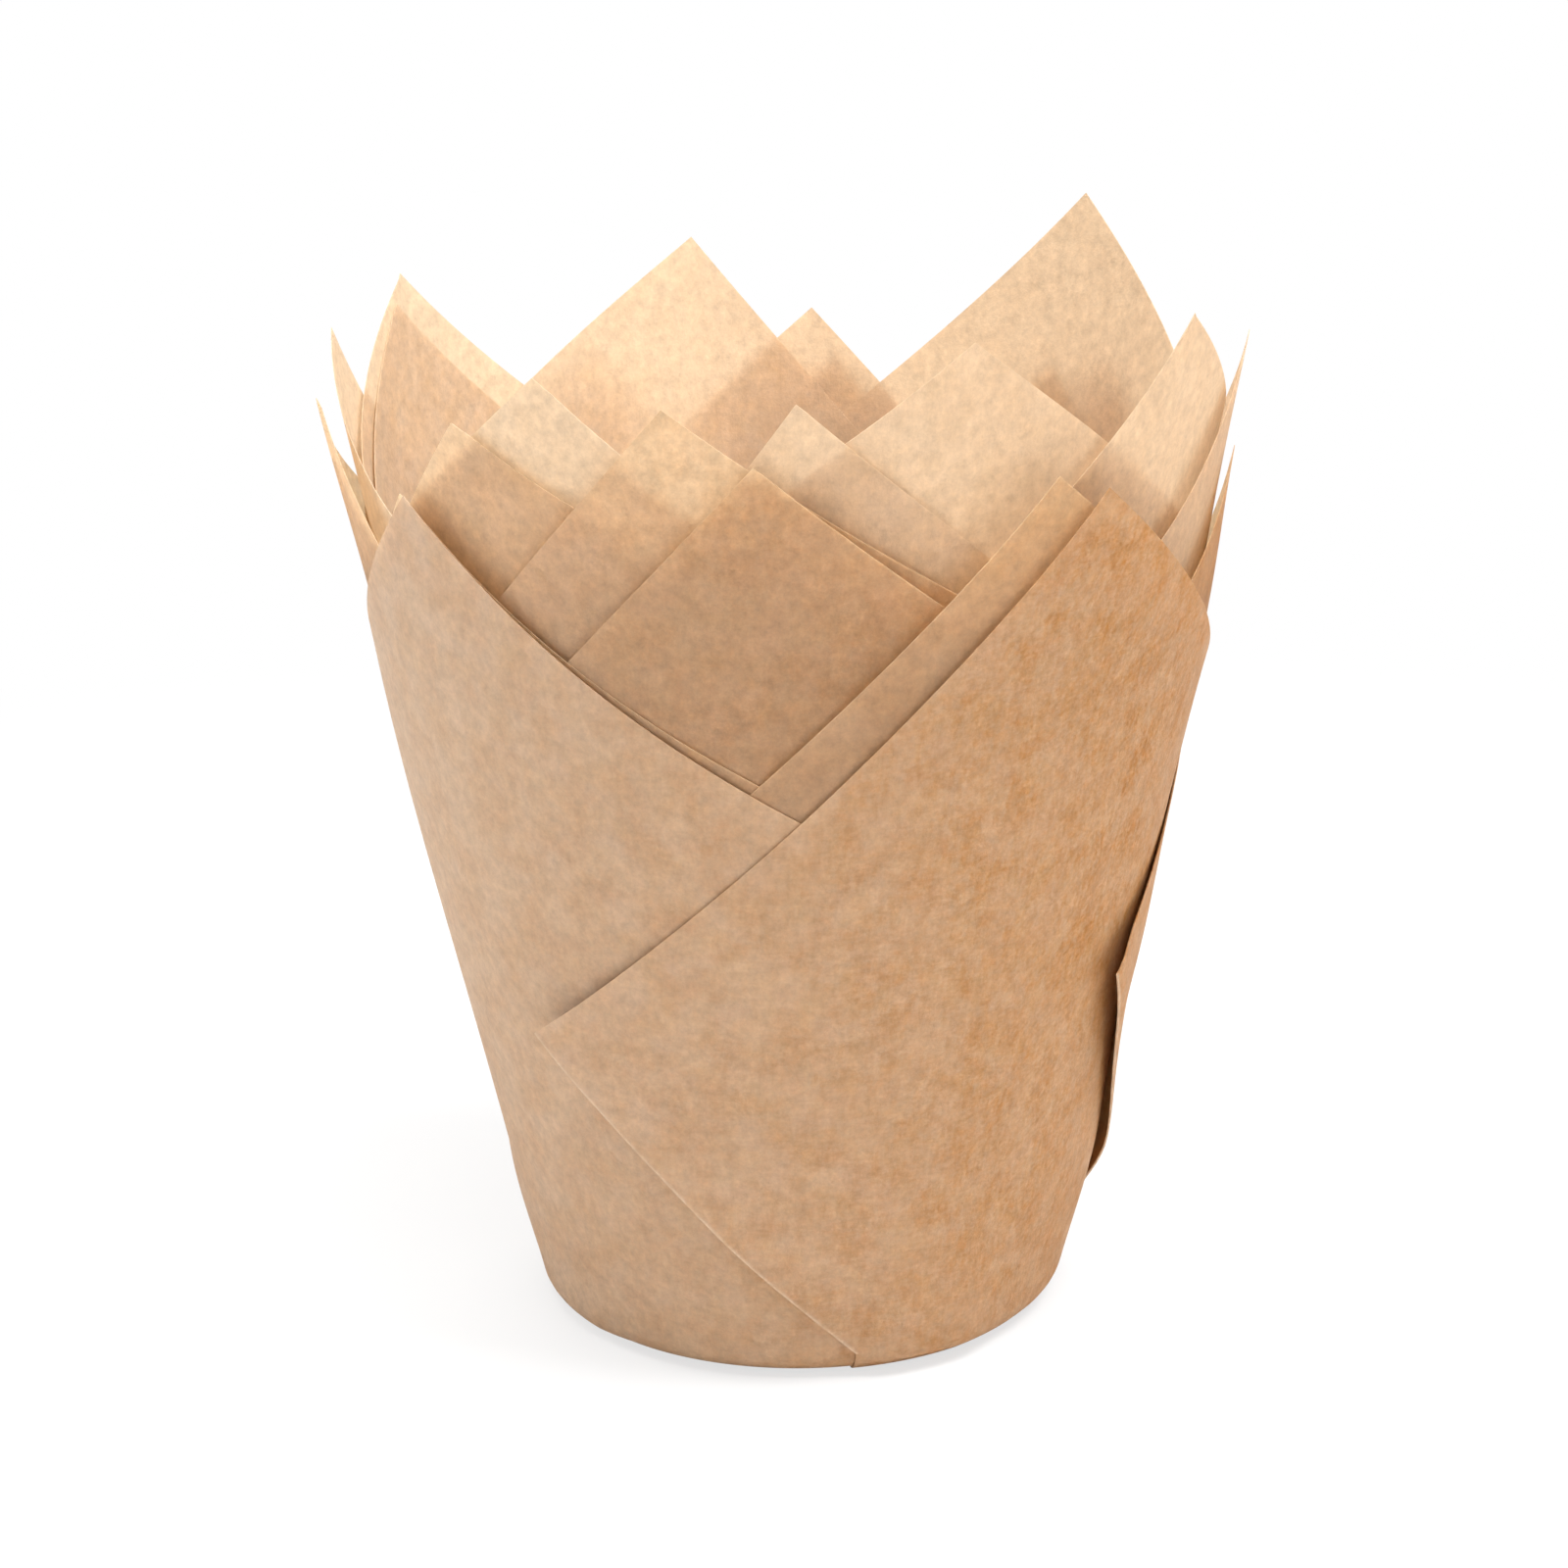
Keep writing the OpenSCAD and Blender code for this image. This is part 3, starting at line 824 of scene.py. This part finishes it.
class LinerPaper(bpy.types.PropertyGroup):
    # Painted side light: the warm colour is painted on the right of the liner and the pink one on
    # the left, for how the light falls there; random drift mixes the two a little everywhere
    warm_right_colour: colour("Warm colour", "Paper where the pulp is warm brown", (0.480, 0.180, 0.015))
    pink_left_colour: colour("Pink colour", "Paper where the pulp is pinkish", (0.725, 0.548, 0.408))
    thin_colour: colour("Thin colour", "Paper where the pulp is thin", (0.660, 0.410, 0.190))
    fibre_colour: colour("Fibre colour", "Pale fibres in the surface", (0.740, 0.560, 0.400))
    glow_colour: colour("Glow colour", "Light through thin pulp", (0.955, 0.865, 0.700))
    dense_glow_colour: colour(
        "Dense glow colour", "Light through dense pulp", (0.930, 0.790, 0.580)
    )
    # Painted light: the paler paper and glow painted on the inner sheets for the brighter light
    # inside the cup
    lit_pale_colour: colour("Pale colour", "Paper of the palest sheet", (0.900, 0.792, 0.630))
    lit_pale_glow_colour: colour(
        "Pale glow colour", "Light through the palest sheet", (0.975, 0.903, 0.785)
    )
    worn_colour: colour(
        "Worn colour", "Paper where a crease has rubbed it pale", (0.800, 0.630, 0.470)
    )
    crease_wear: length("Crease wear", "How far from a crease the paper is rubbed pale", 0.0004)
    translucency: share("Translucency", "Share of the light that passes through", 0.58)
    fibre_strength: share("Fibre strength", "How much the fibres show", 0.35)
    grain: share("Grain", "How much the fine grain darkens and lightens the paper", 0.3)
    cloud_size: length("Cloud size", "Size of the clouds in the pulp", 0.0022)
    fibre_size: length("Fibre size", "Size of the fibres", 0.00032)


class LinerStage(bpy.types.PropertyGroup):
    floor_colour: FloatVectorProperty(
        name="Floor colour",
        description="Colour of the floor",
        default=(0.74, 0.74, 0.74),
        subtype="COLOR",
    )
    floor_glow: share(
        "Floor glow", "Share of plain white in what the camera sees of the floor", 0.7
    )
    shadow_reach: length(
        "Shadow reach", "Distance from the liner at which the floor is plain white", 0.25
    )
    sky: FloatProperty(
        name="Sky", description="Strength of the light from all round", default=0.34, min=0.0
    )
    key_power: power("Key light", "Power of the soft lamp in front on the left", 1.3)
    side_power: power("Side light", "Power of the lamp behind on the left", 6.4)
    right_power: power("Right light", "Power of the lamp in front on the right", 0.8)
    top_power: power("Top light", "Power of the lamp high in front of the mouth", 6.2)
    top_right_power: power("Top right light", "Power of the lamp high on the right", 11.2)
    back_power: power(
        "Back light", "Power of the lamp behind, which shines through the paper", 17.5
    )
    camera_distance: length(
        "Camera distance", "Distance from the camera to the middle of the liner", 0.320
    )
    camera_height: length("Camera aim", "Height above the base that the camera is aimed at", 0.045)
    camera_elevation: angle("Camera elevation", "Height of the camera above the horizon", 17.02)
    camera_roll: angle("Camera roll", "Turn of the camera about its own axis", -0.64)


class LINER_OT_fold_sheet(bpy.types.Operator):
    """Fold one square of paper to a cup and stand it in the nest"""

    bl_idname = "liner.fold_sheet"
    bl_label = "Fold sheet"
    number: IntProperty(
        name="Sheet", description="Number of the sheet, outermost first", default=1, min=1, max=8
    )

    def execute(self, context):
        sizes, finish = context.scene.liner_sizes, context.scene.liner_paper
        former = Former(sizes)
        name = f"paper_sheet_{self.number}"
        folded = FoldedSheet(former, self.number, SHEETS[self.number - 1], PARTINGS)
        piece = bpy.data.objects.new(name, folded.mesh(name))
        context.scene.collection.objects.link(piece)
        piece.data.materials.append(paper_material(self.number, finish))
        cad = f"sheet_{self.number}"
        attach(piece, "root")
        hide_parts(cad)
        return {"FINISHED"}


class LINER_OT_stage(bpy.types.Operator):
    """Set up the pale floor, the soft light and the camera"""

    bl_idname = "liner.stage"
    bl_label = "Set the stage"

    def execute(self, context):
        stage = context.scene.liner_stage
        self.floor(context, stage)
        self.sky(context, stage)
        self.lamp(context, "key_lamp", (-0.5, -0.95, 0.55), 0.8, stage.key_power)
        self.lamp(context, "left_lamp", (-1.1, 0.5, 0.75), 0.6, stage.side_power)
        self.lamp(context, "right_lamp", (1.05, -0.45, 0.75), 0.5, stage.right_power)
        self.lamp(context, "top_lamp", (-0.08, -0.3, 0.98), 0.5, stage.top_power)
        self.lamp(context, "top_right_lamp", (0.42, -0.18, 0.94), 0.5, stage.top_right_power)
        self.lamp(context, "back_lamp", (0.0, 1.2, 0.8), 1.6, stage.back_power)
        self.camera(context, stage)
        context.scene.view_settings.view_transform = "Standard"
        return {"FINISHED"}

    def floor(self, context, stage):
        half = 4.0
        mesh = bpy.data.meshes.new("floor")
        corners = [(-half, -half, 0), (half, -half, 0), (half, half, 0), (-half, half, 0)]
        mesh.from_pydata(corners, [], [(0, 1, 2, 3)])
        floor = bpy.data.objects.new("floor", mesh)
        floor.location.z = -0.0002
        context.scene.collection.objects.link(floor)
        mesh.materials.append(stage_material(stage))

    def sky(self, context, stage):
        world = bpy.data.worlds.new("soft_sky")
        context.scene.world = world
        world.use_nodes = True
        t = world.node_tree
        t.nodes.clear()
        out = node(t, "ShaderNodeOutputWorld", (600, 0))
        light = node(t, "ShaderNodeBackground", (0, 100))
        light.inputs["Strength"].default_value = stage.sky
        white = node(t, "ShaderNodeBackground", (0, -100))
        white.inputs["Strength"].default_value = 1.0
        for background in (light, white):
            background.inputs["Color"].default_value = (1, 1, 1, 1)
        seen = node(t, "ShaderNodeLightPath", (-400, 0))
        both = node(t, "ShaderNodeMixShader", (300, 0))
        t.links.new(seen.outputs["Is Camera Ray"], both.inputs[0])
        t.links.new(light.outputs[0], both.inputs[1])
        t.links.new(white.outputs[0], both.inputs[2])
        t.links.new(both.outputs[0], out.inputs["Surface"])

    def lamp(self, context, name, place, size, power):
        data = bpy.data.lights.new(name, "AREA")
        data.shape = "DISK"
        data.size, data.energy = size, power
        lamp = bpy.data.objects.new(name, data)
        lamp.location = place
        aim = Vector((0, 0, context.scene.liner_stage.camera_height)) - Vector(place)
        lamp.rotation_mode = "QUATERNION"
        lamp.rotation_quaternion = aim.to_track_quat("-Z", "Y")
        context.scene.collection.objects.link(lamp)

    def camera(self, context, stage):
        data = bpy.data.cameras.new("camera")
        data.sensor_width = SENSOR
        data.lens = FOCAL_PIXELS / PICTURE * SENSOR
        data.shift_x = (PICTURE / 2 - CENTRE_ACROSS) / PICTURE
        data.shift_y = (CENTRE_DOWN - PICTURE / 2) / PICTURE
        camera = bpy.data.objects.new("camera", data)
        e = stage.camera_elevation
        back = Vector((0, -math.cos(e), math.sin(e)))
        camera.location = Vector((0, 0, stage.camera_height)) + back * stage.camera_distance
        aim = (-back).to_track_quat("-Z", "Y").to_matrix()
        camera.rotation_mode = "QUATERNION"
        roll = Matrix.Rotation(stage.camera_roll, 3, "Z")
        camera.rotation_quaternion = (aim @ roll).to_quaternion()
        context.scene.collection.objects.link(camera)
        context.scene.camera = camera


class LINER_PT_panel(bpy.types.Panel):
    bl_idname = "LINER_PT_panel"
    bl_label = "Cupcake liner"
    bl_space_type = "VIEW_3D"
    bl_region_type = "UI"
    bl_category = "Liner"

    def draw(self, context):
        layout = self.layout
        for settings in ("liner_sizes", "liner_paper", "liner_stage"):
            box = layout.box()
            group = getattr(context.scene, settings)
            for name in group.__annotations__:
                box.prop(group, name)
        for number in range(1, len(SHEETS) + 1):
            button = layout.operator(LINER_OT_fold_sheet.bl_idname, text=f"Fold sheet {number}")
            button.number = number
        layout.operator(LINER_OT_stage.bl_idname)


CLASSES = (
    LinerSizes,
    LinerPaper,
    LinerStage,
    LINER_OT_fold_sheet,
    LINER_OT_stage,
    LINER_PT_panel,
)


def register():
    for made in CLASSES:
        bpy.utils.register_class(made)
    bpy.types.Scene.liner_sizes = PointerProperty(type=LinerSizes)
    bpy.types.Scene.liner_paper = PointerProperty(type=LinerPaper)
    bpy.types.Scene.liner_stage = PointerProperty(type=LinerStage)


def unregister():
    del bpy.types.Scene.liner_stage
    del bpy.types.Scene.liner_paper
    del bpy.types.Scene.liner_sizes
    for made in reversed(CLASSES):
        bpy.utils.unregister_class(made)


def main():
    register()
    bpy.ops.liner.stage()
    for number in range(1, len(SHEETS) + 1):
        bpy.ops.liner.fold_sheet(number=number)


if __name__ == "__main__":
    main()
